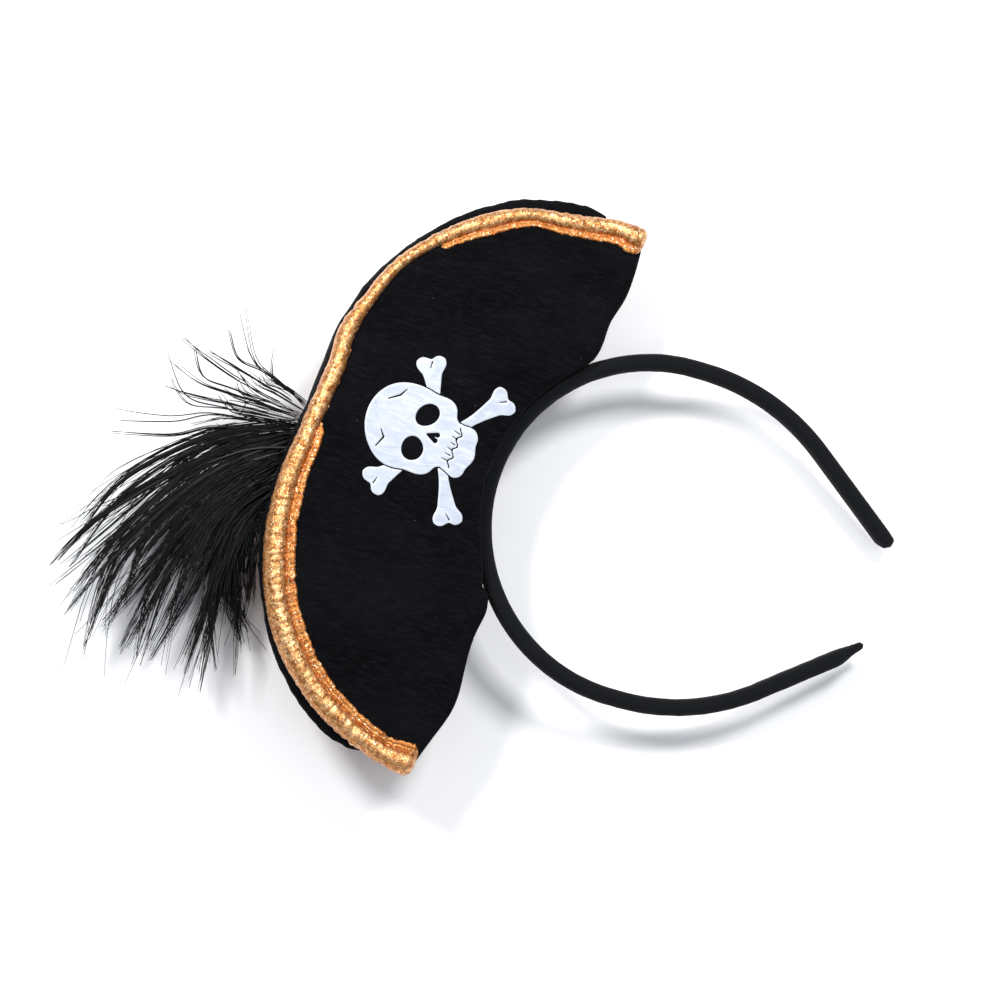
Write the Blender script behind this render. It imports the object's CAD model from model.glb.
"""Looks of the pirate hat: velvet brims and crown, rolled gold trim, printed emblem, feather plume and
covered band.

Shapes are worked out in millimetres, in the part's frame: +Z up, the skull faces -Y, the wearer's left is +X.
"""

import math

import bmesh
import bpy
import numpy as np
from mathutils import Matrix, Vector, noise

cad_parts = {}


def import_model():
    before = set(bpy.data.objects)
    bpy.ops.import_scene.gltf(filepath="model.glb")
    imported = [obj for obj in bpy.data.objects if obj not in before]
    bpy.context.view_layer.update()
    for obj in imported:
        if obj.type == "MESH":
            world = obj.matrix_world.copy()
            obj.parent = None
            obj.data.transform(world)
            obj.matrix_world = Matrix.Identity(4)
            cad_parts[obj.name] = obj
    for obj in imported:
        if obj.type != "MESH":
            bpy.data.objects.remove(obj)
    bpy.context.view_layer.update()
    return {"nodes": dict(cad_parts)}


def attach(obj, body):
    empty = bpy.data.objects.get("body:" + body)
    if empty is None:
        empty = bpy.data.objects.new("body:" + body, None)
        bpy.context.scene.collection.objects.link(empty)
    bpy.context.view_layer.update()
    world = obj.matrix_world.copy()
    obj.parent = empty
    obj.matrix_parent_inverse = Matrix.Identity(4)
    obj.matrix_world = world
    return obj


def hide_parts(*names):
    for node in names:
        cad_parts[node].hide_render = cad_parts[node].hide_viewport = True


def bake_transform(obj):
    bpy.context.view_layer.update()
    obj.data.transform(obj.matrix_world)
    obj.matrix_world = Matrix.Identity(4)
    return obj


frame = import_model()
NODES = frame["nodes"]
MM = 0.001

# ---- Driving dimensions, as in the part ----

# Band: arc over the head, section, then the arm on each side: a short straight, a wide arc and a straight end
BAND_R = 63.5
BAND_W = 8.0
BAND_T = 5.0
BAND_CZ = BAND_T / 2 - BAND_R
ARM_R = 80.0
ARM_TURN = math.radians(38)
ARM_SIDE = 4.0
ARM_END = 40.0

# Hat: lean on the band, crest outline of the brims, their planes in plan and from the side, hem and seat
HAT_LEAN = math.radians(8.5)
BRIM_H = 73.5
SHOULDER_R = 84.5
CREST_HALF = 25.0
CREST_CZ = BRIM_H - SHOULDER_R
BACK_DROP = 7.0
STACK_T = 4.0
FRONT_Y = -10.0
BACK_Y = 30.0
CROWN_BACK_Y = 22.0
FRONT_PLAN_R = 1600.0
BACK_PLAN_R = 330.0
FRONT_RAKE = math.tan(math.radians(1.5))
BACK_RAKE = math.tan(math.radians(6))
HEM_X = 78.0
HEM_Z = -16.0
HEM_R = 150.0
FRONT_SEAT_R = 65.5
BACK_SEAT_R = 69.0
BASE_R = 66.9
# Crown, against the front brim's outline
CROWN_RISE = 2.5
CROWN_WIDE = 3.0
CROWN_END = 108.0
SEAM_Y = 3.1
# Emblem: film, middle of its crossing, skull and bones
FILM_T = 0.4
EMBLEM = (4.6, 26.5)
SKULL_H = 43.0
SKULL_RISE = 8.0
SKULL_TILT = math.radians(1)
BONE_LEN = 64.0
BONE_SLOPE = math.radians(32)


def to_row(points):
    """Hat frame to row frame: the hat leans by HAT_LEAN about the Y axis."""
    p = np.asarray(points, float)
    c, s = math.cos(HAT_LEAN), math.sin(HAT_LEAN)
    return np.stack([p[:, 0] * c + p[:, 2] * s, p[:, 1], p[:, 2] * c - p[:, 0] * s], axis=1)


# The band's centre, in the hat's own leaning frame
SEAT_C = (-BAND_CZ * math.sin(HAT_LEAN), BAND_CZ * math.cos(HAT_LEAN))


def front_surface(x, z, d):
    """Y of the front brim, d millimetres behind its outer face."""
    return FRONT_Y + d + FRONT_PLAN_R - np.sqrt(FRONT_PLAN_R**2 - x * x) - z * FRONT_RAKE


def back_surface(x, z, d):
    """Y of the back brim, d millimetres in front of its outer face."""
    return BACK_Y - d - BACK_PLAN_R + np.sqrt(BACK_PLAN_R**2 - x * x) + z * BACK_RAKE


def crest_z(x, grow, wide=0.0):
    """Height of the brim's top outline at x, grown outwards, with its shoulders moved out by `wide`."""
    out = np.maximum(np.abs(x) - CREST_HALF - wide, 0)
    return CREST_CZ + np.sqrt(np.maximum((SHOULDER_R + grow) ** 2 - out**2, 0))


def hem_z(x, seat_r, lift=0.0):
    """Height of the hat's lower edge at x: the hem, or the seat over the band where that is higher."""
    hem = HEM_Z + HEM_R - np.sqrt((HEM_R - lift) ** 2 - (np.abs(x) - HEM_X) ** 2)
    across = x - SEAT_C[0]
    arch = SEAT_C[1] + np.sqrt(np.maximum(seat_r**2 - across**2, 0))
    rounded = (hem + arch + np.sqrt((hem - arch) ** 2 + 6.0 * smooth(np.abs(across), 30, 44))) / 2
    return np.where(np.abs(across) < seat_r, rounded, hem)


def smooth(x, lo, hi):
    """0 below lo, 1 above hi, with a soft step between."""
    t = np.clip((x - lo) / (hi - lo), 0, 1)
    return t * t * (3 - 2 * t)


def bell(x, centre, width):
    """1 at the centre, falling smoothly to nothing on both sides."""
    return np.exp(-(((x - centre) / width) ** 2))


def bend_outline(points, left, right):
    """Moves the outline in or out, as soft sewn goods settle: each side has its own push for an angle above
    its tip. Along the flat middle that angle runs on past 90, by one for each millimetre."""
    x, z = points[:, 0], points[:, 2]
    from_x = np.maximum(np.abs(x) - CREST_HALF, 0.0)
    reach = np.hypot(from_x, z - CREST_CZ)
    angle = np.degrees(np.arctan2(z - CREST_CZ, from_x)) + np.maximum(CREST_HALF - np.abs(x), 0)
    near_edge = smooth(reach, 0.5 * SHOULDER_R, 0.95 * SHOULDER_R)
    push = np.where(x > 0, left(angle), right(angle)) * near_edge
    points[:, 0] += np.sign(x) * push * from_x / np.maximum(reach, 1)
    points[:, 2] += push * (z - CREST_CZ) / np.maximum(reach, 1)
    return points


# How far the brims and the crown settle outwards at an angle above the tip, for each side


def brim_left(a):
    return 2.0 * bell(a, 88, 8) + 0.6 * bell(a, 68, 10) - 0.5 * bell(a, 50, 10) - 2.6 * bell(a, 18, 11)


def brim_right(a):
    return (0.8 + 0.5 * bell(a, 38, 15)) * (1 - smooth(a, 50, 75))


def crown_left(a):
    return np.interp(a, [0, 8, 14, 21, 30, 40, 50, 86, 115], [2.0, 3.6, 4.3, 5.9, 6.6, 5.3, 3.9, 3.6, 2.0])


def crown_right(a):
    return np.interp(a, [0, 11, 20, 28, 36, 44, 55, 115], [1.0, 1.8, 6.0, 6.4, 4.5, 3.2, 1.7, 2.0])


def waves(p, size, seed, octaves=2):
    """Smooth noise from -1 to 1 at points p, with features about `size` millimetres across."""
    shift = Vector((seed * 17.3, seed * -9.1, seed * 5.7))
    return np.array([noise.fractal(Vector(q) / size + shift, 0.6, 2.0, octaves) for q in p])


# ---- Mesh building ----


def add_mesh(name, points, faces, material, second=None):
    """A smooth-shaded mesh of points in millimetres. `second` is (material, its face indices)."""
    mesh = bpy.data.meshes.new(name)
    mesh.from_pydata((np.asarray(points, float) * MM).tolist(), [], [list(map(int, f)) for f in faces])
    mesh.materials.append(material)
    if second:
        mesh.materials.append(second[0])
        for i in second[1]:
            mesh.polygons[i].material_index = 1
    mesh.polygons.foreach_set("use_smooth", [True] * len(mesh.polygons))
    mesh.update()
    obj = bpy.data.objects.new(name, mesh)
    bpy.context.scene.collection.objects.link(obj)
    return obj


def tube_faces(stations, ring):
    """Faces of a closed tube whose points run round each ring and then on to the next station."""
    faces = []
    for i in range(stations - 1):
        for j in range(ring):
            k = (j + 1) % ring
            faces.append((i * ring + j, i * ring + k, (i + 1) * ring + k, (i + 1) * ring + j))
    faces.append(tuple(range(ring - 1, -1, -1)))
    faces.append(tuple((stations - 1) * ring + j for j in range(ring)))
    return faces


def outward(obj):
    """Makes the faces of a closed mesh point outwards."""
    bm = bmesh.new()
    bm.from_mesh(obj.data)
    bmesh.ops.recalc_face_normals(bm, faces=bm.faces)
    bm.to_mesh(obj.data)
    bm.free()
    return obj


def catmull(points, count, closed=False):
    """`count` points on a smooth curve through the given ones."""
    p = np.asarray(points, float)
    n = len(p)
    spans = n if closed else n - 1
    u = np.linspace(0, spans, count, endpoint=not closed)
    i = np.minimum(u.astype(int), spans - 1)
    f = (u - i)[:, None]

    def at(k):
        return p[k % n] if closed else p[np.clip(k, 0, n - 1)]

    a, b, c, d = at(i - 1), at(i), at(i + 1), at(i + 2)
    return 0.5 * (2 * b + (c - a) * f + (2 * a - 5 * b + 4 * c - d) * f**2 + (3 * b - a - 3 * c + d) * f**3)


# ---- Material building ----


class Shader:
    """A principled material with short helpers for its nodes."""

    def __init__(self, name, **values):
        self.material = bpy.data.materials.new(name)
        self.material.use_nodes = True
        self.nodes = self.material.node_tree.nodes
        self.links = self.material.node_tree.links
        self.out = self.nodes["Principled BSDF"]
        for socket, value in values.items():
            self.out.inputs[socket.replace("_", " ")].default_value = value
        self.coords = self.nodes.new("ShaderNodeTexCoord")

    def node(self, kind, inputs=(), **settings):
        n = self.nodes.new("ShaderNode" + kind)
        for key, value in settings.items():
            setattr(n, key, value)
        for socket, value in dict(inputs).items():
            if isinstance(value, bpy.types.NodeSocket):
                self.links.new(value, n.inputs[socket])
            else:
                n.inputs[socket].default_value = value
        return n

    def place(self, scale=(1, 1, 1), turn=(0, 0, 0), source="Object"):
        """Texture coordinates in millimetres, or in UV units, scaled and turned."""
        unit = 1000 if source == "Object" else 1
        change = {"Scale": [unit * s for s in scale], "Rotation": turn}
        return self.node("Mapping", {"Vector": self.coords.outputs[source], **change}).outputs[0]

    def noise(self, vector, size, detail=3.0, rough=0.55, warp=0.0):
        shape = {"Scale": 1 / size, "Detail": detail, "Roughness": rough, "Distortion": warp}
        return self.node("TexNoise", {"Vector": vector, **shape}).outputs[0]

    def cells(self, vector, size):
        return self.node("TexVoronoi", {"Vector": vector, "Scale": 1 / size})

    def bands(self, vector, pitch, warp, axis="X"):
        """Soft stripes `pitch` millimetres apart, bent by `warp`."""
        shape = {"Scale": 0.314 / pitch, "Distortion": warp, "Detail": 2.0, "Detail Scale": 1.5}
        return self.node("TexWave", {"Vector": vector, **shape}, bands_direction=axis).outputs["Fac"]

    def math(self, kind, a, b):
        return self.node("Math", {0: a, 1: b}, operation=kind).outputs[0]

    def ramp(self, value, stops):
        """A colour ramp; each stop is (place, colour or grey)."""
        made = self.node("ValToRGB", {"Fac": value})
        marks = made.color_ramp.elements
        while len(marks) < len(stops):
            marks.new(0.5)
        for mark, (place, tone) in zip(marks, stops):
            mark.position = place
            mark.color = (tone, tone, tone, 1) if isinstance(tone, float) else (*tone, 1)
        return made.outputs["Color"]

    def mix(self, amount, a, b):
        """From colour a to colour b."""
        made = self.node("Mix", data_type="RGBA")
        for key, value in ((0, amount), (6, a), (7, b)):
            if isinstance(value, bpy.types.NodeSocket):
                self.links.new(value, made.inputs[key])
            else:
                made.inputs[key].default_value = (*value, 1) if isinstance(value, tuple) else value
        return made.outputs[2]

    def bump(self, height, depth, strength, under=None):
        """Adds a bump `depth` millimetres deep, on top of `under`."""
        made = self.node("Bump", {"Height": height, "Distance": depth * MM, "Strength": strength})
        if under is not None:
            self.links.new(under, made.inputs["Normal"])
        return made.outputs[0]

    def set(self, socket, value):
        self.links.new(value, self.out.inputs[socket])


def velvet_material():
    """Short-pile black velvet: faint diagonal twill, brushed patches and lint."""
    m = Shader("velvet", Roughness=0.85, Sheen_Weight=0.02, Sheen_Roughness=0.4, Specular_IOR_Level=0.05)
    m.out.inputs["Sheen Tint"].default_value = (0.72, 0.76, 0.9, 1)
    flat = m.place()
    twill = m.bands(m.place(turn=(0, math.radians(45), 0)), 0.95, warp=1.6)
    pile = m.noise(flat, 0.22, detail=4.0, rough=0.7)
    along = m.place(scale=(1.6, 1, 0.35), turn=(0, math.radians(45), 0))
    streak = m.ramp(m.noise(along, 1.4), [(0.45, 0.0), (0.7, 1.0)])
    brushed = m.noise(m.place(scale=(1, 1, 0.45), turn=(0, 0.7, 0)), 16.0, detail=3.0)
    brushed = m.ramp(brushed, [(0.35, 0.0), (0.7, 1.0)])
    tone = m.mix(brushed, (0.0010, 0.0010, 0.0014), (0.0032, 0.0032, 0.0042))
    tone = m.mix(m.math("MULTIPLY", m.math("MULTIPLY", twill, streak), 0.8), tone, (0.0090, 0.0090, 0.0115))
    lint = m.cells(m.place(scale=(1, 1, 0.35), turn=(0.3, 0.9, 0.2)), 2.6)
    speck = m.ramp(lint.outputs["Distance"], [(0.02, 1.0), (0.055, 0.0)])
    rare = m.ramp(m.noise(flat, 5.0, detail=1.0), [(0.56, 0.0), (0.64, 1.0)])
    tone = m.mix(m.math("MULTIPLY", speck, rare), tone, (0.075, 0.075, 0.085))
    m.set("Base Color", tone)
    weave = m.bump(twill, 0.10, 0.5)
    m.set("Normal", m.bump(pile, 0.16, 0.8, under=weave))
    return m.material


def ribbed_material():
    """Black tubular knit: fine ribs across the band, crossed by faint wales."""
    m = Shader("band_knit", Roughness=0.9, Sheen_Weight=0.03, Sheen_Roughness=0.5, Specular_IOR_Level=0.1)
    along = m.place(source="UV")
    ribs = m.bands(along, 0.62, warp=0.5)
    wales = m.bands(along, 0.8, warp=0.8, axis="Y")
    fuzz = m.noise(m.place(), 0.3, detail=4.0, rough=0.7)
    grain = m.math("ADD", m.math("MULTIPLY", ribs, 0.75), m.math("MULTIPLY", wales, 0.25))
    tone = m.mix(grain, (0.0020, 0.0024, 0.0028), (0.0085, 0.0095, 0.0110))
    tone = m.mix(m.ramp(fuzz, [(0.55, 0.0), (0.8, 0.5)]), tone, (0.014, 0.015, 0.018))
    m.set("Base Color", tone)
    m.set("Normal", m.bump(fuzz, 0.08, 0.6, under=m.bump(grain, 0.2, 0.9)))
    return m.material


def gold_material():
    """Copper-gold lame: metallic cloth with a glittering weave, bright on the roll and dark in the folds."""
    m = Shader("gold_lame", Metallic=0.8)
    flat = m.place()
    flakes = m.cells(flat, 0.55)
    shade = m.noise(flat, 2.2, detail=5.0, rough=0.65)
    dull, copper, pale = (0.26, 0.078, 0.016), (0.56, 0.225, 0.060), (0.80, 0.42, 0.150)
    tone = m.ramp(shade, [(0.30, dull), (0.50, copper), (0.70, pale)])
    fold = m.node("Attribute", attribute_name="fold").outputs["Fac"]
    glow = m.node("Attribute", attribute_name="glow").outputs["Fac"]
    worn = m.ramp(shade, [(0.40, 0.0), (0.66, 0.85)])
    tone = m.mix(m.math("MULTIPLY", glow, worn), tone, (1.0, 0.68, 0.34))
    tone = m.mix(m.math("MULTIPLY", fold, 0.7), tone, (0.42, 0.110, 0.018))
    dots = m.node("SeparateColor", {"Color": flakes.outputs["Color"]})
    tone = m.mix(m.ramp(dots.outputs[0], [(0.88, 0.0), (0.97, 0.7)]), tone, (1.0, 0.84, 0.56))
    tone = m.mix(m.ramp(dots.outputs[1], [(0.0, 0.75), (0.20, 0.0)]), tone, (0.14, 0.036, 0.006))
    m.set("Base Color", tone)
    m.set("Roughness", m.ramp(dots.outputs[2], [(0.0, 0.24), (1.0, 0.46)]))
    crease = m.noise(flat, 1.1, detail=4.0, rough=0.6, warp=0.6)
    m.set("Normal", m.bump(dots.outputs[1], 0.07, 0.85, under=m.bump(crease, 0.4, 0.8)))
    return m.material


def print_material():
    """White heat-pressed film: satin, faintly creased, with a brighter pressed rim."""
    m = Shader("print_film", Roughness=0.38, Coat_Weight=0.15, Coat_Roughness=0.3)
    flat = m.place()
    crease = m.noise(m.place(scale=(1, 1, 0.35), turn=(0, 0.8, 0)), 4.0, detail=4.0, rough=0.6, warp=0.8)
    cloth = m.noise(flat, 0.5, detail=3.0)
    tone = m.mix(m.ramp(crease, [(0.35, 0.0), (0.65, 1.0)]), (0.37, 0.41, 0.49), (0.48, 0.51, 0.59))
    rim = m.node("Attribute", attribute_name="rim").outputs["Fac"]
    tone = m.mix(m.math("MULTIPLY", rim, 0.55), tone, (0.60, 0.63, 0.68))
    m.set("Base Color", tone)
    m.set("Normal", m.bump(cloth, 0.05, 0.5, under=m.bump(crease, 0.5, 0.6)))
    return m.material


def cloth_material(name, dark, light, size=0.5):
    """Plain matted cloth: felt or lining."""
    m = Shader(name, Roughness=0.92, Sheen_Weight=0.1, Specular_IOR_Level=0.15)
    flat = m.place()
    fibre = m.noise(m.place(scale=(1, 0.4, 1), turn=(0.4, 0.5, 0.9)), size, detail=5.0, rough=0.7, warp=1.0)
    patch = m.noise(flat, 12 * size, detail=2.0)
    m.set("Base Color", m.mix(m.math("MULTIPLY", fibre, patch), dark, light))
    m.set("Normal", m.bump(fibre, 0.3, 0.7))
    return m.material


def thread_material():
    """Black sewing thread, wound in fine turns."""
    m = Shader("thread", Roughness=0.6, Sheen_Weight=0.1)
    turns = m.bands(m.place(), 0.45, warp=0.6, axis="Z")
    fuzz = m.noise(m.place(), 0.15, detail=4.0)
    m.set("Base Color", m.mix(m.math("MULTIPLY", turns, fuzz), (0.004, 0.004, 0.005), (0.025, 0.025, 0.03)))
    m.set("Normal", m.bump(turns, 0.2, 0.9, under=m.bump(fuzz, 0.06, 0.6)))
    return m.material


def plastic_material(name, dark, light, rough):
    """Plain moulded plastic or set glue, with faint flow marks."""
    m = Shader(name, Roughness=rough)
    flow = m.noise(m.place(scale=(1, 1, 0.3)), 3.0, detail=3.0)
    grain = m.noise(m.place(), 0.3, detail=2.0)
    m.set("Base Color", m.mix(flow, dark, light))
    m.set("Normal", m.bump(grain, 0.06, 0.4, under=m.bump(flow, 0.3, 0.4)))
    return m.material


def feather_material():
    """Dyed black barbs with a soft gloss and a little variation from strand to strand."""
    m = Shader("feather", Roughness=0.55, Specular_IOR_Level=0.2)
    strand = m.noise(m.place(), 1.6, detail=3.0)
    m.set("Base Color", m.mix(strand, (0.0012, 0.0012, 0.0016), (0.0060, 0.0060, 0.0075)))
    barbule = m.noise(m.place(), 0.25, detail=2.0)
    m.set("Normal", m.bump(barbule, 0.06, 0.6))
    return m.material


VELVET = velvet_material()
KNIT = ribbed_material()
GOLD = gold_material()
PRINT = print_material()
FELT = cloth_material("felt", (0.006, 0.006, 0.007), (0.034, 0.034, 0.038))
LINING = cloth_material("lining", (0.005, 0.005, 0.006), (0.020, 0.020, 0.023), size=0.3)
THREAD = thread_material()
PLASTIC = plastic_material("band_plastic", (0.02, 0.02, 0.02), (0.035, 0.035, 0.035), 0.45)
GLUE = plastic_material("glue", (0.62, 0.58, 0.46), (0.78, 0.74, 0.62), 0.35)
FEATHER = feather_material()
QUILL = plastic_material("quill", (0.003, 0.003, 0.003), (0.009, 0.008, 0.008), 0.5)

CAD_FINISH = {
    PLASTIC: ["band_core_crown", "band_core_left", "band_core_right"],
    GLUE: ["glue_bead"],
    LINING: ["seam_tape_front", "seam_tape_back"],
    THREAD: ["tip_tack_left", "tip_tack_right", "plume_stitch", "plume_thread_wrap"],
    FELT: ["plume_patch"],
}
for finish, names in CAD_FINISH.items():
    for name in names:
        NODES[name].data.materials.clear()
        NODES[name].data.materials.append(finish)


# ---- Covered band ----


def band_path(s):
    """Place and outward direction in the X-Z plane, s millimetres from the crown along the left arm."""
    arc = BAND_R * math.pi / 2
    if s <= arc:
        a = math.pi / 2 - s / BAND_R
        return (BAND_R * math.cos(a), BAND_CZ + BAND_R * math.sin(a)), a
    s -= arc
    if s <= ARM_SIDE:
        return (BAND_R, BAND_CZ - s), 0.0
    s -= ARM_SIDE
    a = -min(s / ARM_R, ARM_TURN)
    x, z = BAND_R - ARM_R + ARM_R * math.cos(a), BAND_CZ - ARM_SIDE + ARM_R * math.sin(a)
    on = max(s - ARM_R * ARM_TURN, 0.0)
    return (x + on * math.sin(a), z - on * math.cos(a)), a


BAND_LEN = BAND_R * math.pi / 2 + ARM_SIDE + ARM_R * ARM_TURN + ARM_END


def crease_ring(obj, ring):
    """Keeps the shading straight at a tube's first ring, where it meets its other half."""
    bm = bmesh.new()
    bm.from_mesh(obj.data)
    bm.verts.ensure_lookup_table()
    for edge in bm.edges:
        if all(v.index < ring for v in edge.verts):
            edge.smooth = False
    bm.to_mesh(obj.data)
    bm.free()


def band_half(name, side):
    """Half of the knitted cover, from the crown to a folded tip: blunt on the left, pointed on the right."""
    ring = 40
    end_at = BAND_LEN + 4.2
    taper = 5.0 if side > 0 else 13.0
    thinning = 0.30 if side > 0 else 0.62
    lean = 0.5 if side > 0 else -0.9
    stations = np.concatenate([np.arange(0, end_at - 15, 0.9), np.linspace(end_at - 15, end_at, 44)])
    angles = np.linspace(0, 2 * math.pi, ring, endpoint=False)
    power = 2 / 2.7
    sec_y = np.sign(np.cos(angles)) * np.abs(np.cos(angles)) ** power * (BAND_W / 2 + 0.35)
    sec_r = np.sign(np.sin(angles)) * np.abs(np.sin(angles)) ** power * (BAND_T / 2 + 0.65)
    points = []
    for s in stations:
        (x, z), a = band_path(s)
        fold = smooth(s, end_at - taper, end_at - 0.6)
        close = math.sqrt(max(1 - smooth(s, end_at - 2.0, end_at) ** 2, 0.03))
        wide = (1 - 0.35 * fold) * close
        thick = (1 - thinning * fold) * close
        shift = lean * fold
        for y, r in zip(sec_y, sec_r):
            seam = 0.22 * math.exp(-((y - 0.6) ** 2) / 0.3) * (r < 0) * (1 - fold)
            crease = 0.3 * fold * close * math.sin(y * 2.1 + s * 1.3)
            out = r * thick + shift + crease - seam
            points.append((x + out * math.cos(a), y * wide, z + out * math.sin(a)))
    points = np.array(points)
    points[:, 0] *= side
    rough = 0.09 * waves(points, 5.0, 3 + side) * smooth(np.repeat(stations, ring), 0, 8)
    points += rough[:, None]
    obj = add_mesh(name, points, tube_faces(len(stations), ring), KNIT)
    uv = obj.data.uv_layers.new(name="UVMap")
    girth = np.linspace(0, 2 * (BAND_W + BAND_T) * 0.86, ring, endpoint=False)
    for loop in obj.data.loops:
        i, j = divmod(loop.vertex_index, ring)
        uv.data[loop.index].uv = (stations[i], girth[j])
    crease_ring(outward(obj), ring)
    word = "left" if side > 0 else "right"
    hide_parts("band_sleeve_crown", f"band_sleeve_{word}", f"tip_cap_{word}")
    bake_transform(obj)


band_half("band_cover_left", 1)
band_half("band_cover_right", -1)


# ---- Brims ----


def edge_distance(x, z, grow, seat_r):
    """Rough distance inside the brim's outline, to its crest and to its hem."""
    corner = np.maximum(np.abs(x) - CREST_HALF, 0)
    return SHOULDER_R + grow - np.hypot(corner, z - CREST_CZ), z - hem_z(x, seat_r)


def front_puff(x, z):
    """How far the velvet front stands out from the flat foam: a soft pillow with puckers under the trim."""
    to_crest, to_hem = edge_distance(x, z, -1.0, FRONT_SEAT_R)
    pillow = 1.7 * smooth(to_crest, 2, 26) * smooth(to_hem, -4, 22)
    p = np.stack([x, np.zeros_like(x), z], axis=1)
    rolling = 0.55 * waves(p, 34.0, 1) * smooth(to_crest, 0, 14)
    along = np.arctan2(x, z - CREST_CZ) * SHOULDER_R
    near_trim = np.exp(-np.maximum(to_crest - 4, 0) / 6.5)
    pucker = 0.38 * near_trim * np.sin(along / 1.75 + 2.2 * waves(p, 24.0, 2))
    return pillow + rolling + pucker + 0.07 * waves(p, 4.0, 5)


def back_puff(x, z):
    """The same for the back brim, with its own waves."""
    to_crest, to_hem = edge_distance(x, z, -1.0 - BACK_DROP, BACK_SEAT_R)
    p = np.stack([x, np.full_like(x, 40.0), z], axis=1)
    along = np.arctan2(x, z - CREST_CZ) * SHOULDER_R
    near_trim = np.exp(-np.maximum(to_crest - 4, 0) / 6.5)
    pucker = 0.35 * near_trim * np.sin(along / 1.9 + 2.2 * waves(p, 26.0, 8))
    return 1.3 * smooth(to_crest, 2, 26) * smooth(to_hem, -4, 22) + 0.5 * waves(p, 30.0, 7) + pucker


def hem_slack(x):
    """How far the brims' lower edge droops (negative) or lifts at x."""
    return 1.8 * bell(x, 73, 8) - 2.4 * bell(x, -81, 13) - 3.0 * bell(x, -43, 9) * (x < -38.5)


def brim(name, surface, sign, grow, seat_r, puff, nodes):
    """A padded brim: velvet outside, lining inside, with a rounded hem. sign is -1 for the front brim."""
    edge = CREST_HALF + SHOULDER_R + grow
    while crest_z(edge, grow) - hem_z(edge, seat_r) < 2.0:
        edge -= 0.1
    columns = edge * np.sin(np.linspace(-math.pi / 2, math.pi / 2, 150))
    rows = 46
    up = (1 - np.cos(np.linspace(0, math.pi, rows))) / 2
    points = []
    for x in columns:
        xs = np.full(rows, x)
        lo, hi = hem_z(xs, seat_r) + hem_slack(xs), crest_z(xs, grow)
        z = lo + (hi - lo) * up
        near = np.minimum(z - lo, hi - z)
        roll = STACK_T / 2 * (1 - np.sqrt(1 - (1 - np.clip(near / (STACK_T / 2), 0, 1)) ** 2))
        outer = surface(xs, z, roll) + sign * puff(xs, z) * smooth(near, 0, 3)
        behind = surface(xs, z, STACK_T - roll)
        keep = slice(1, rows - 1)
        points.append(np.stack([xs, outer, z], axis=1))
        points.append(np.stack([xs, behind, z], axis=1)[keep][::-1])
    points = np.concatenate(points)
    ring = 2 * rows - 2
    faces = tube_faces(len(columns), ring)
    inner = [k for k in range(len(faces) - 2) if k % ring >= rows - 1]
    points = bend_outline(points, brim_left, brim_right)
    obj = outward(add_mesh(name, to_row(points), faces, VELVET, second=(LINING, inner)))
    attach(obj, "hat")
    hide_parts(*nodes)


brim(
    "brim_front", front_surface, -1, -1.0, FRONT_SEAT_R, front_puff,
    ["brim_front_face", "brim_front_foam", "brim_front_lining"],
)
brim(
    "brim_back", back_surface, 1, -1.0 - BACK_DROP, BACK_SEAT_R, back_puff,
    ["brim_back_face", "brim_back_foam", "brim_back_lining"],
)


# ---- Crown ----


def crown_limits(x, z):
    """Front and back walls that hold the crown in, from the brims' linings."""
    return front_surface(x, z, STACK_T + 0.5), back_surface(x, z, STACK_T + 0.5)


def crown_start(inset):
    """A plain pillow in the crown's space, as rings across the hat."""
    ring = 36
    angles = np.linspace(0, 2 * math.pi, ring, endpoint=False)
    power = 2 / 2.6
    across = np.sign(np.cos(angles)) * np.abs(np.cos(angles)) ** power
    up = np.sign(np.sin(angles)) * np.abs(np.sin(angles)) ** power
    points = []
    columns = (CROWN_END + 4.5) * np.sin(np.linspace(-math.pi / 2, math.pi / 2, 60) * 0.985)
    for x in columns:
        lo = float(hem_z(x, BASE_R + 2.0, 5.5)) + inset
        hi = float(crest_z(x, CROWN_RISE, CROWN_WIDE)) - inset
        close = math.sqrt(1 - min(max(abs(x) - CROWN_END + 22, 0) / 27, 0.999) ** 2)
        zc, zr = (lo + hi) / 2 + 3 * (1 - close), max((hi - lo) / 2 * close, 1.5)
        z = zc + zr * up
        front = front_surface(np.full(ring, x), z, STACK_T + 2.0) + inset
        back = CROWN_BACK_Y - BACK_PLAN_R + math.sqrt(BACK_PLAN_R**2 - x * x) - inset
        back = np.maximum(back, front + 4.0)
        y = (front + back) / 2 + (back - front) / 2 * across
        points.append(np.stack([np.full(ring, x), y, z], axis=1))
    return np.concatenate(points), tube_faces(len(columns), ring)


def swell(obj, cap, pressure=4.0, frames=20):
    """Puffs a closed mesh with the cloth solver; no point moves further than `cap` millimetres."""
    mesh = obj.data
    rest = np.zeros(len(mesh.vertices) * 3, np.float32)
    mesh.vertices.foreach_get("co", rest)
    cloth = obj.modifiers.new("cloth", "CLOTH")
    cloth.settings.use_pressure = True
    cloth.settings.uniform_pressure_force = pressure
    cloth.settings.effector_weights.gravity = 0
    cloth.settings.quality = 5
    scene = bpy.context.scene
    for f in range(1, frames + 1):
        scene.frame_set(f)
    swollen = obj.evaluated_get(bpy.context.evaluated_depsgraph_get()).data
    moved = np.zeros_like(rest)
    swollen.vertices.foreach_get("co", moved)
    obj.modifiers.remove(cloth)
    step = (moved - rest).reshape(-1, 3)
    far = np.linalg.norm(step, axis=1, keepdims=True)
    step *= np.minimum(1, cap * MM / np.maximum(far, 1e-9))
    mesh.vertices.foreach_set("co", (rest + step.ravel()).astype(np.float32))
    mesh.update()
    scene.frame_set(1)


def apply(obj, mod):
    """Makes the effect of a modifier permanent."""
    made = bpy.data.meshes.new_from_object(obj.evaluated_get(bpy.context.evaluated_depsgraph_get()))
    obj.modifiers.remove(mod)
    obj.data = made


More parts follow.
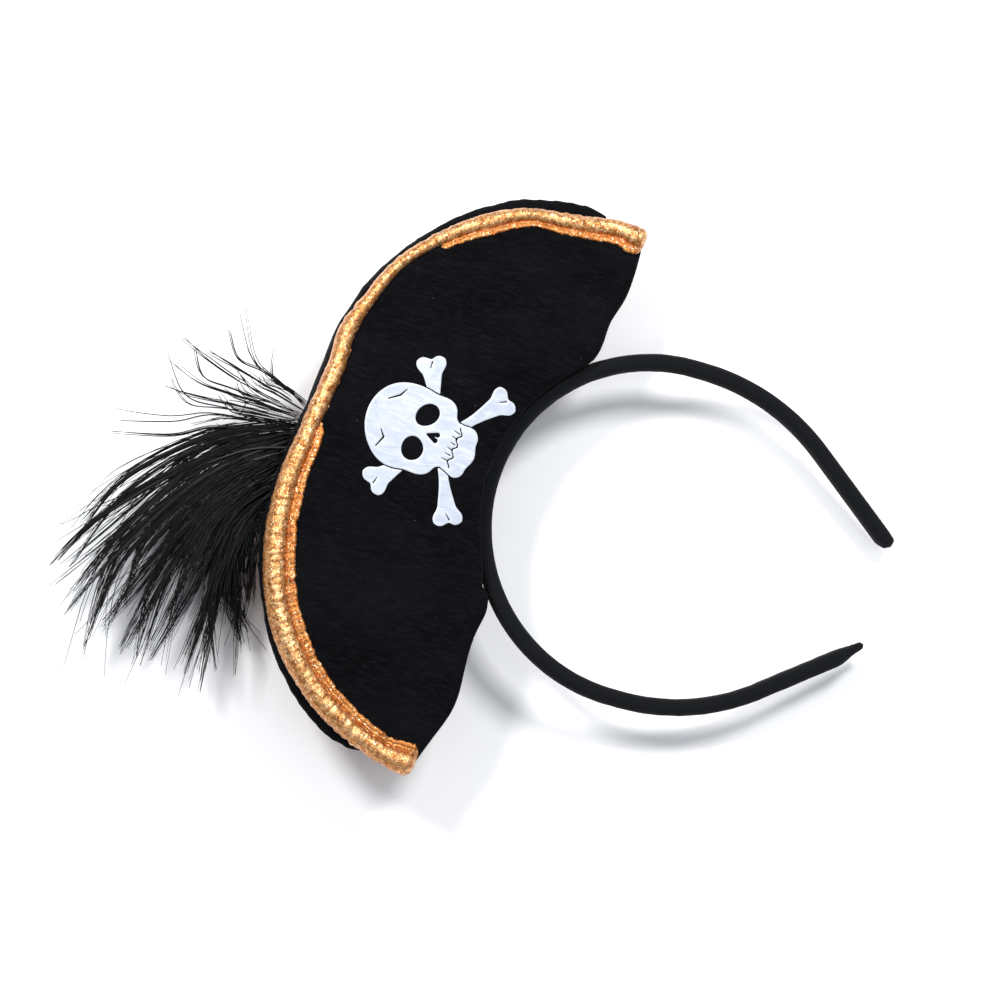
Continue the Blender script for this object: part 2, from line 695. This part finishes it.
def subdivide(obj, levels):
    """Subdivides the mesh for good."""
    mod = obj.modifiers.new("fine", "SUBSURF")
    mod.levels = mod.render_levels = levels
    apply(obj, mod)


def remesh(obj, size):
    """Rebuilds a closed mesh with even faces of `size` millimetres."""
    mod = obj.modifiers.new("even", "REMESH")
    mod.mode = "VOXEL"
    mod.voxel_size = size * MM
    mod.use_smooth_shade = True
    apply(obj, mod)
    obj.data.materials.clear()
    obj.data.materials.append(VELVET)


def soften(obj, times):
    """Evens out the steps that the voxel remesh leaves."""
    bm = bmesh.new()
    bm.from_mesh(obj.data)
    axes = {"use_axis_x": True, "use_axis_y": True, "use_axis_z": True}
    for _ in range(times):
        bmesh.ops.smooth_vert(bm, verts=bm.verts, factor=0.5, **axes)
    bm.to_mesh(obj.data)
    bm.free()


def crown():
    """The stuffed crown, swollen by the cloth solver between the two brims, with a sunk seam over its top."""
    inset = 0.6
    points, faces = crown_start(inset)
    obj = outward(add_mesh("crown", points, faces, VELVET))
    remesh(obj, 2.5)
    swell(obj, cap=2.2)
    soften(obj, 8)
    subdivide(obj, 1)
    co = np.zeros(len(obj.data.vertices) * 3)
    obj.data.vertices.foreach_get("co", co)
    p = co.reshape(-1, 3) / MM
    lo, hi = crown_limits(p[:, 0], p[:, 2])
    p[:, 1] = np.clip(p[:, 1], lo, np.maximum(hi, lo + 1))
    p[:, 2] = np.maximum(p[:, 2], hem_z(p[:, 0], BASE_R + 1.6, 4.0))
    top = smooth(p[:, 2], 10, 40)
    seam = np.exp(-(((p[:, 1] - SEAM_Y - 5) / 1.3) ** 2)) * top
    centre = np.array([0.0, 0.0, CREST_CZ])
    inward = centre - p * np.array([1, 0, 1])
    inward /= np.linalg.norm(inward, axis=1, keepdims=True)
    depth = 0.9 * seam - 0.5 * waves(p, 26.0, 11) * top - 0.12 * waves(p, 5.0, 12)
    p += inward * depth[:, None]
    p = bend_outline(p, crown_left, crown_right)
    obj.data.vertices.foreach_set("co", (to_row(p) * MM).ravel().astype(np.float32))
    obj.data.polygons.foreach_set("use_smooth", [True] * len(obj.data.polygons))
    obj.data.update()
    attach(obj, "hat")
    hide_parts("crown_front_panel", "crown_back_panel", "crown_stuffing")


crown()


def felt_base():
    """The felt that closes the crown underneath, a soft sheet over the band."""
    columns = np.linspace(-CROWN_END, CROWN_END, 140)
    rows = 14
    points = []
    for x in columns:
        lo = float(hem_z(x, BASE_R, 4.0))
        y = np.linspace(*crown_limits(x, lo), rows)
        dip = 0.5 * np.sin(np.linspace(0, math.pi, rows))
        low = np.stack([np.full(rows, x), y, np.full(rows, lo + 0.1)], axis=1)
        high = np.stack([np.full(rows, x), y, lo + 2.0 + dip], axis=1)[::-1]
        points += [low, high]
    points = np.concatenate(points)
    obj = outward(add_mesh("crown_base", to_row(points), tube_faces(len(columns), 2 * rows), FELT))
    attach(obj, "hat")
    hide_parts("base_felt")


felt_base()


# ---- Gold trim ----

# The roll's section, folded edge first: outwards from the brim's edge line, then towards the side that shows
TRIM_SECTION = [
    (-6.7, 1.7), (-7.2, 2.4), (-6.8, 3.1), (-5.9, 3.2), (-5.3, 3.0), (-4.7, 3.2), (-4.1, 2.8), (-3.6, 3.4),
    (-2.7, 4.4), (-1.2, 5.0), (0.5, 4.9), (2.0, 3.8), (2.9, 1.9), (3.2, 0.0), (2.9, -2.0), (1.8, -3.4),
    (-0.4, -4.1), (-2.6, -3.8), (-4.0, -3.0), (-4.4, -2.3), (-3.2, -1.2), (-3.2, 1.0),
]
TRIM_OUT = 3.2  # the section's furthest point outwards


def trim_path(drop, step):
    """Points and outward directions along the crest, from the wearer's right tip to the left one."""
    radius = SHOULDER_R - 1.5 - drop
    tip = math.radians(-2.0)
    arc = radius * (math.pi / 2 - tip)
    total = 2 * arc + 2 * CREST_HALF
    s = np.arange(0, total + step / 2, step)
    flat = np.clip(s - arc, 0, 2 * CREST_HALF)
    angle = math.pi - tip - (s - flat) / radius
    out = np.stack([np.cos(angle), np.sin(angle)], axis=1)
    place = radius * out + np.stack([flat - CREST_HALF, np.full_like(s, CREST_CZ)], axis=1)
    return s, place, out


def trim(name, surface, sign, drop, seed, tucks, width, nodes):
    """A crinkled roll of metallic cloth, stitched over the brim's edge, with its raw edge folded into a thin
    ridge beside it. `tucks` are the (place along x, half width) where that ridge slips under the roll, and
    `width` gives how wide the roll lies at x."""
    s, place, out = trim_path(drop, 0.42)
    section = catmull(TRIM_SECTION, 60, closed=True)
    ring = len(section)
    along = np.stack([s, 0 * s, 0 * s], axis=1)
    wobble = waves(along, 30.0, seed)
    size = 1 + 0.06 * waves(along, 22.0, seed + 1) + 0.03 * waves(along, 6.0, seed + 2)
    slack = 0.5 * waves(along, 14.0, seed + 3) + 0.55 * waves(along, 1.5, seed + 6)
    tuck = np.max([smooth(w + 5 - np.abs(place[:, 0] - x), 0, 5) for x, w in tucks], axis=0)
    tuck *= place[:, 1] > CREST_CZ
    wide = width(place[:, 0])
    end = np.minimum(s, s[-1] - s)
    close = np.sqrt(np.clip(1 - (1 - np.clip(end / 3.2, 0, 1)) ** 2, 0.02, 1))
    flare = 1 + 0.14 * bell(end, 5, 4.5)
    n0, y0 = section[:, 0], section[:, 1]
    shown = y0 > 0
    ridge = smooth(-n0, 4.0, 4.8) * shown
    groove = bell(n0, -4.0, 0.45) * shown
    crown_of_roll = smooth(y0, 3.2, 4.9)
    points, folds, glow = [], [], []
    for i in range(len(s)):
        n = n0 + ridge * (2.7 * tuck[i] + 0.5 * slack[i])
        y = y0 - ridge * (1.2 * tuck[i] - 0.3 * slack[i])
        n = TRIM_OUT - (TRIM_OUT - n) * size[i] * flare[i] * wide[i]
        n = (n + 2.0) * (0.35 + 0.65 * close[i]) - 2.0 + 0.4 * wobble[i]
        y = y * size[i] * flare[i] * (0.4 + 0.6 * wide[i]) * close[i]
        x = place[i, 0] + out[i, 0] * n
        z = place[i, 1] + out[i, 1] * n
        mid = surface(x, z, STACK_T / 2)
        points.append(np.stack([x, mid - sign * y, z], axis=1))
        folds.append(np.maximum(ridge * (0.55 + 0.35 * slack[i]), groove))
        glow.append(crown_of_roll * (0.65 + 0.5 * size[i] * wobble[i]))
    points = np.concatenate(points)
    inner = place - 1.5 * out
    centre = np.repeat(np.stack([inner[:, 0], 0 * s, inner[:, 1]], axis=1), ring, axis=0)
    centre[:, 1] = surface(centre[:, 0], centre[:, 2], STACK_T / 2)
    away = points - centre
    away /= np.maximum(np.linalg.norm(away, axis=1, keepdims=True), 1e-6)
    arc = np.repeat(s, ring)
    angle = np.tile(np.linspace(0, 1, ring, endpoint=False), len(s))
    slanted = np.stack([arc + 5 * angle, 9 * angle, 0 * arc + seed], axis=1)
    gathers = waves(slanted * np.array([1, 0.3, 1]), 1.7, seed + 4)
    creases = 1 - np.abs(waves(slanted * np.array([1, 0.5, 1]), 5.0, seed + 5, octaves=3)) * 2
    points += away * (0.22 * gathers + 0.20 * creases)[:, None]
    points = bend_outline(points, brim_left, brim_right)
    obj = outward(add_mesh(name, to_row(points), tube_faces(len(s), ring), GOLD))
    for word, values in (("fold", np.concatenate(folds)), ("glow", np.concatenate(glow))):
        layer = obj.data.attributes.new(word, "FLOAT", "POINT")
        layer.data.foreach_set("value", np.clip(values, 0, 1).astype(np.float32))
    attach(obj, "hat")
    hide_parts(*nodes)


def front_width(x):
    """Width of the front roll, as a part of its full width: narrow over the left shoulder."""
    places = [-105, -90, -45, -12, 25, 45, 65, 88, 98, 106, 112]
    return np.interp(x, places, [1, 1.1, 1.1, 0.9, 0.85, 0.65, 0.6, 0.85, 0.65, 0.9, 1.1])


def back_width(x):
    """The same for the back roll."""
    return 0.95 - 0.1 * bell(x, 30, 25)


trim(
    "gold_trim_front", front_surface, 1, 0.0, 21, [(32, 38)], front_width,
    ["trim_front", "trim_front_batting"],
)
trim(
    "gold_trim_back", back_surface, -1, BACK_DROP, 41, [(-52, 9)], back_width,
    ["trim_back", "trim_back_batting"],
)


# ---- Printed emblem ----
# Each shape is a signed distance in millimetres, negative inside.


def turned(x, z, angle):
    """The same place in axes turned by angle."""
    c, s = math.cos(angle), math.sin(angle)
    return x * c + z * s, z * c - x * s


def disc(x, z, cx, cz, r):
    """A round spot of radius r."""
    return np.hypot(x - cx, z - cz) - r


def oval(x, z, cx, cz, rx, rz, turn=0.0):
    """An ellipse, turned anticlockwise."""
    u, v = turned(x - cx, z - cz, turn)
    return (np.hypot(u / rx, v / rz) - 1) * min(rx, rz)


def capsule(x, z, a, b, r0, r1):
    """A bar from a to b, its radius going from r0 to r1."""
    ax, az, bx, bz = *a, *b
    t = np.clip(((x - ax) * (bx - ax) + (z - az) * (bz - az)) / ((bx - ax) ** 2 + (bz - az) ** 2), 0, 1)
    return np.hypot(x - ax - t * (bx - ax), z - az - t * (bz - az)) - (r0 + (r1 - r0) * t)


def merge(a, b, k):
    """Union of two shapes with a fillet of about k."""
    h = np.clip(0.5 + 0.5 * (b - a) / k, 0, 1)
    return b + (a - b) * h - k * h * (1 - h)


def skull_outline(x, z):
    """Own plain skull: round cranium, cheeks and a blunt jaw. One unit is a tenth of its height."""
    d = oval(x, z, 0, 1.25, 3.75, 3.6)
    for side in (-1, 1):
        d = merge(d, disc(x, z, side * 2.35, -1.15, 1.15), 0.9)
    d = merge(d, capsule(x, z, (-0.95, -2.6), (0.95, -2.6), 1.1, 1.1), 0.7)
    jaw = merge(capsule(x, z, (-1.35, -4.0), (1.35, -4.0), 0.85, 0.85), disc(x, z, 0, -4.15, 1.0), 0.5)
    for side in (-1, 1):
        jaw = merge(jaw, capsule(x, z, (side * 1.75, -3.0), (side * 1.6, -4.0), 0.35, 0.6), 0.3)
    return np.minimum(d, jaw)


def skull_holes(x, z):
    """Eye and nose holes, the line of the teeth and two hairline cracks."""
    teeth = -3.3 - 0.16 * np.sin(x * 6.3) + 0.05 * x
    d = np.maximum(np.abs(z - teeth) - 0.07, np.abs(x) - 1.75)
    for k in (-1.25, -0.75, -0.25, 0.25, 0.75, 1.25):
        d = np.minimum(d, capsule(x, z, (k, -3.2), (k * 1.05, -2.75 + 0.1 * abs(k)), 0.05, 0.03))
    for side in (-1, 1):
        eye = oval(x, z, side * 1.55, 0.05, 1.05, 0.86, side * -0.35)
        d = np.minimum(d, merge(eye, disc(x, z, side * 1.7, -0.15, 0.75), 0.4))
        d = np.minimum(d, capsule(x, z, (0, -0.7), (side * 0.26, -1.5), 0.10, 0.22))
    for a, b, c in (((-2.7, 2.9), (-1.7, 2.6), (-1.2, 3.1)), ((1.4, 3.6), (2.2, 2.8), (2.9, 2.5))):
        d = np.minimum(d, np.minimum(capsule(x, z, a, b, 0.05, 0.08), capsule(x, z, b, c, 0.08, 0.04)))
    return d


def bone_distance(x, z):
    """Own plain bone: a shaft that flares into two knobs at each end, with a short mark on each."""
    half = BONE_LEN / 2
    d = np.maximum(np.abs(z) - (1.75 + 2.6 * smooth(np.abs(x), 0.4 * half, half)), np.abs(x) - half + 3)
    for side in (-1, 1):
        for up in (-1, 1):
            d = merge(d, disc(x, z, side * (half - 3.4), up * 2.9, 2.6), 2.2)
        mark = capsule(x, z, (side * (half - 5.2), 0.5), (side * (half - 2.8), -0.5), 0.14, 0.26)
        d = np.maximum(d, -mark)
    return d


def emblem_distance(x, z):
    """Both shapes about the emblem's crossing point; a thin unprinted line keeps them apart."""
    u = SKULL_H / 10
    sx, sz = turned(x / u, (z - SKULL_RISE) / u, -SKULL_TILT)
    sx = sx + 0.12 * np.sin(sz * 0.9)
    outline = skull_outline(sx, sz) * u
    bones = np.minimum(
        bone_distance(*turned(x, z, BONE_SLOPE - math.radians(2))),
        bone_distance(*turned(x, z, -BONE_SLOPE - math.radians(2))),
    )
    return np.maximum(outline, -skull_holes(sx, sz) * u), np.maximum(bones, 0.45 - outline)


def film(name, distance, reach, step, nodes):
    """Turns a signed distance into a thin film on the front velvet, cut along its outline."""
    line = np.linspace(-reach, reach, int(2 * reach / step) + 1)
    gx, gz = np.meshgrid(line, line, indexing="ij")
    d = distance(gx.ravel(), gz.ravel()).reshape(gx.shape)
    index, flat, faces = {}, [], []

    def corner(i, j):
        if (i, j) not in index:
            index[(i, j)] = len(flat)
            flat.append((gx[i, j], gz[i, j], -d[i, j]))
        return index[(i, j)]

    def crossing(a, b):
        key = (min(a, b), max(a, b))
        if key not in index:
            p, q = key
            t = min(max(d[p] / (d[p] - d[q]), 0.02), 0.98)
            index[key] = len(flat)
            flat.append((gx[p] + t * (gx[q] - gx[p]), gz[p] + t * (gz[q] - gz[p]), 0.0))
        return index[key]

    inside = d < 0
    some = inside[:-1, :-1] | inside[1:, :-1] | inside[:-1, 1:] | inside[1:, 1:]
    for i, j in zip(*np.nonzero(some)):
        around = [(i, j), (i + 1, j), (i + 1, j + 1), (i, j + 1)]
        face = []
        for a, b in zip(around, around[1:] + around[:1]):
            if inside[a]:
                face.append(corner(*a))
            if inside[a] != inside[b]:
                face.append(crossing(a, b))
        if len(face) > 2:
            faces.append(face)
    flat = np.array(flat)
    x, z = flat[:, 0] + EMBLEM[0], flat[:, 1] + EMBLEM[1]
    lift = FILM_T * (0.45 + 0.55 * smooth(flat[:, 2], 0, 0.5))
    velvet = front_surface(x, z, 0) - front_puff(x, z)
    top = np.stack([x, velvet - lift, z], axis=1)
    low = np.stack([x, velvet + 0.15, z], axis=1)
    n = len(flat)
    sides = dict.fromkeys((a, b) for f in faces for a, b in zip(f, f[1:] + f[:1]))
    rim = [[b, a, a + n, b + n] for a, b in sides if (b, a) not in sides]
    solid = faces + [[v + n for v in reversed(f)] for f in faces] + rim
    obj = outward(add_mesh(name, to_row(np.concatenate([top, low])), solid, PRINT))
    edge = obj.data.attributes.new("rim", "FLOAT", "POINT")
    edge.data.foreach_set("value", np.tile(1 - smooth(flat[:, 2], 0.35, 0.9), 2).astype(np.float32))
    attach(obj, "hat")
    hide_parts(*nodes)


film("skull_film", lambda x, z: emblem_distance(x, z)[0], 36.0, 0.2, ["skull_print"])
film("bones_film", lambda x, z: emblem_distance(x, z)[1], 36.0, 0.25, ["crossbones_print"])


# ---- Plume ----

PLUME_Y = 25.2
# Flow of the barbs in the hat's own X-Z plane, each from its root to its tip: first the loose wisps on top,
WISPS = [
    ((0, 72), (7, 89), (12, 101), (28, 112)),
    ((2, 74), (7, 94), (9, 105), (16, 113)),
    ((1, 73), (4, 95), (6, 109), (8, 117)),
    ((0, 74), (1, 101), (4, 116), (9, 127)),
    ((-1, 74), (-3, 103), (-4, 114), (5, 123)),
    ((-3, 73), (-5, 101), (-6, 116), (-4, 127)),
    ((-4, 74), (-10, 106), (-12, 118), (-12, 126)),
    ((-5, 73), (-11, 102), (-15, 115), (-8, 126)),
    ((-6, 73), (-14, 104), (-23, 119), (-31, 135)),
    ((-8, 73), (-18, 102), (-28, 117), (-36, 135)),
]
# then the curling mass of the plume, from its upper edge round to its lowest barbs
FLOWS = [
    ((-3, 72), (-21, 104), (-49, 125), (-78, 130)),
    ((-6, 72), (-26, 103), (-58, 126), (-92, 138)),
    ((-8, 71), (-31, 101), (-67, 122), (-97, 133)),
    ((-10, 71), (-36, 100), (-74, 119), (-107, 126)),
    ((-13, 71), (-39, 98), (-77, 115), (-112, 116)),
    ((-16, 71), (-42, 95), (-75, 109), (-108, 111)),
    ((-18, 71), (-43, 93), (-77, 102), (-107, 104)),
    ((-20, 71), (-45, 90), (-74, 98), (-109, 96)),
    ((-22, 71), (-47, 87), (-76, 91), (-107, 92)),
    ((-24, 71), (-48, 85), (-73, 87), (-108, 82)),
    ((-26, 71), (-49, 83), (-75, 81), (-110, 74)),
    ((-28, 71), (-50, 80), (-74, 77), (-108, 67)),
    ((-30, 71), (-52, 77), (-77, 73), (-102, 60)),
    ((-32, 70), (-52, 75), (-71, 71), (-82, 63)),
    ((-35, 68), (-54, 69), (-68, 64), (-82, 58)),
]
STRAND_STEPS = 14
# Middle line of the stem, from inside its thread wrapping up into the barbs
STEM = [(-8.6, 25.2, 47), (-11, 25.2, 60), (-15, 25.4, 74), (-22, 26.2, 88), (-34, 27.5, 101)]


def lock_line(flow, rng, wander):
    """The middle line of one lock: four points near those of its flow."""
    depth = rng.normal(0, 2.8)
    line = np.array([[x, PLUME_Y + 1.5 + k * (1.6 + 0.33 * depth), z] for k, (x, z) in enumerate(flow)])
    line[1:, [0, 2]] += rng.normal(0, wander, (3, 2)) * np.array([[0.6], [1.0], [1.3]])
    line[0] += np.array([rng.normal(0, 1.0), rng.normal(0, 0.8), rng.normal(0, 1.5)])
    return line


def lock_strands(line, count, girth, rng):
    """The barbs of one lock: they leave its middle line along its length and draw together at its tip."""
    strands = []
    fine = catmull(line, 60)
    for _ in range(count):
        start = rng.uniform(0.0, 0.45) ** 1.2
        stop = rng.uniform(0.70, 1.0) if count > 3 else 1.0
        off = rng.normal(0, girth, 3) * np.array([1, 0.8, 1])
        stray = rng.normal(0, 0.45, 3)
        if rng.random() < 0.16:
            stray += rng.normal(0, 5.0, 3) * np.array([1, 0.4, 1])
        phase, sway = rng.uniform(0, 6.3), rng.uniform(0.1, 0.6)
        thick = rng.uniform(0.38, 0.62) if count > 3 else rng.uniform(0.5, 0.75)
        points, widths = [], []
        for k in range(STRAND_STEPS + 1):
            u = k / STRAND_STEPS
            t = start + (stop - start) * u
            gather = 0.25 + 0.75 * math.sin(math.pi * min(0.12 + 0.86 * t, 1)) ** 0.8
            p = fine[round(t * 59)] + off * gather + stray * u**1.7
            points.append(p + np.array([1, 0.4, -1]) * sway * math.sin(phase + 5 * u) * u)
            widths.append(thick * (1 - 0.62 * u**2) * (0.55 + 0.45 * min(1, 6 * u)))
        strands.append((points, widths))
    return strands


def strand_mesh(strands, sides=3):
    """All strands as tapering tubes in one mesh."""
    points, faces = [], []
    corners = [2 * math.pi * k / sides for k in range(sides)]
    for path, widths in strands:
        base = len(points)
        path = np.array(path)
        heading = np.gradient(path, axis=0)
        heading /= np.linalg.norm(heading, axis=1, keepdims=True)
        side = np.cross(heading, np.array([0.1, 1.0, 0.05]))
        side /= np.linalg.norm(side, axis=1, keepdims=True)
        up = np.cross(side, heading)
        for p, s, u, w in zip(path, side, up, widths):
            points += [p + (s * math.cos(c) + u * math.sin(c)) * w / 2 for c in corners]
        faces += [[base + v for v in face] for face in tube_faces(len(path), sides)]
    return points, faces


def plume():
    """Dyed barbs gathered in tapering locks, over a few thin shafts that carry them."""
    rng = np.random.default_rng(7)
    strands, shafts = [], []
    for flow in WISPS:
        strands += lock_strands(lock_line(flow, rng, 0.6), 3, 0.35, rng)
        near_root = lock_line(flow, rng, 1.2)
        near_root[1:] = near_root[0] + (near_root[1:] - near_root[0]) * 0.62
        strands += lock_strands(near_root, 6, 0.8, rng)
    for first, second in zip(FLOWS, FLOWS[1:]):
        for k in range(5):
            f = (k + rng.uniform(0.1, 0.9)) / 5
            between = (1 - f) * np.array(first, float) + f * np.array(second, float)
            line = lock_line(between, rng, 2.6)
            if k % 3 == 1:
                line[1:] = line[0] + (line[1:] - line[0]) * rng.uniform(0.6, 0.85)
            strands += lock_strands(line, int(rng.integers(12, 24)), rng.uniform(0.55, 0.95), rng)
            if k == 2:
                shafts.append((catmull(line, 16), np.linspace(1.0, 0.3, 16)))
    points, faces = strand_mesh(strands)
    barbs = add_mesh("plume_barbs", to_row(points), faces, FEATHER)
    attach(barbs, "plume")
    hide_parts(*[f"plume_feather_{k}" for k in range(1, 6)])
    shafts.append((catmull(STEM, 20), np.linspace(2.2, 0.6, 20)))
    points, faces = strand_mesh(shafts, sides=6)
    quills = add_mesh("plume_shafts", to_row(points), faces, QUILL)
    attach(quills, "plume")
    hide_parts("plume_quills", "plume_thread_knot", "plume_stem")


plume()


# ---- Floor, light and camera ----

TARGET = Vector((-0.003, 0.010, -0.004))
CAMERA_AT = Vector((-0.2096, -1.3675, 0.1406))
TO_CAMERA = (CAMERA_AT - TARGET).normalized()
IMAGE_UP = Vector((0.938, -0.195, 0.285))
IMAGE_RIGHT = IMAGE_UP.cross(TO_CAMERA).normalized()
VIEW_WIDTH = 0.372
FLOOR_NORMAL = Vector((0, -0.988, 0.154)).normalized()
FLOOR_AT = Vector((0, 0.0435, 0.068))


def look(obj, at, towards, up):
    """Puts obj at a point, facing along `towards`, with `up` upwards in its view."""
    z = -towards.normalized()
    x = up.cross(z).normalized()
    turn = Matrix((x, z.cross(x), z)).transposed().to_4x4()
    obj.matrix_world = Matrix.Translation(at) @ turn


def camera():
    """The camera, whose view is VIEW_WIDTH metres wide at TARGET."""
    data = bpy.data.cameras.new("camera")
    data.sensor_width = 36.0
    data.lens = data.sensor_width * (CAMERA_AT - TARGET).length / VIEW_WIDTH
    obj = bpy.data.objects.new("camera", data)
    bpy.context.scene.collection.objects.link(obj)
    look(obj, CAMERA_AT, -TO_CAMERA, IMAGE_UP)
    bpy.context.scene.camera = obj


def area_light(name, direction, distance, size, power, colour=(1, 1, 1)):
    """A round soft light that shines on TARGET, in metres and watts."""
    data = bpy.data.lights.new(name, "AREA")
    data.shape = "DISK"
    data.size = size
    data.energy = power
    data.color = colour
    obj = bpy.data.objects.new(name, data)
    bpy.context.scene.collection.objects.link(obj)
    away = direction.normalized()
    look(obj, TARGET + away * distance, -away, Vector((0.1, 0.2, 1)))


def floor():
    """A pale board on which the hat lies. It is clear from behind, so that other views see the hat's back."""
    m = Shader("floor", Roughness=0.9, Specular_IOR_Level=0.1)
    paper = m.noise(m.place(), 0.8, detail=3.0)
    m.set("Base Color", m.mix(paper, (0.90, 0.90, 0.91), (0.93, 0.93, 0.935)))
    m.set("Normal", m.bump(paper, 0.02, 0.2))
    clear = m.node("BsdfTransparent").outputs[0]
    behind = m.node("NewGeometry").outputs["Backfacing"]
    both = m.node("MixShader", {0: behind, 1: m.out.outputs[0], 2: clear})
    m.links.new(both.outputs[0], m.nodes["Material Output"].inputs["Surface"])
    half = 450
    corners = [(-half, -half, 0), (half, -half, 0), (half, half, 0), (-half, half, 0)]
    obj = add_mesh("floor", corners, [(0, 1, 2, 3)], m.material)
    look(obj, FLOOR_AT, -FLOOR_NORMAL, Vector((0, 0, 1)))
    obj.visible_shadow = False


def world():
    """Even, faintly cool light from all round."""
    made = bpy.data.worlds.new("studio")
    made.use_nodes = True
    light = made.node_tree.nodes["Background"].inputs
    light["Color"].default_value = (0.90, 0.93, 1.0, 1)
    light["Strength"].default_value = 0.42
    bpy.context.scene.world = made


camera()
floor()
world()
OVERHEAD = IMAGE_UP * 0.75 + TO_CAMERA * 1.0
area_light("key_left", OVERHEAD - IMAGE_RIGHT * 0.6, 1.1, 0.28, 9.0)
area_light("key_right", OVERHEAD + IMAGE_RIGHT * 0.5, 1.1, 0.28, 8.0)
area_light("front_fill", TO_CAMERA + IMAGE_RIGHT * 0.3, 1.3, 0.9, 4.0, (0.96, 0.98, 1.0))
area_light("back_fill", Vector((0.4, 0.9, 0.5)), 1.2, 0.8, 9.0)
bpy.context.scene.view_settings.view_transform = "Standard"
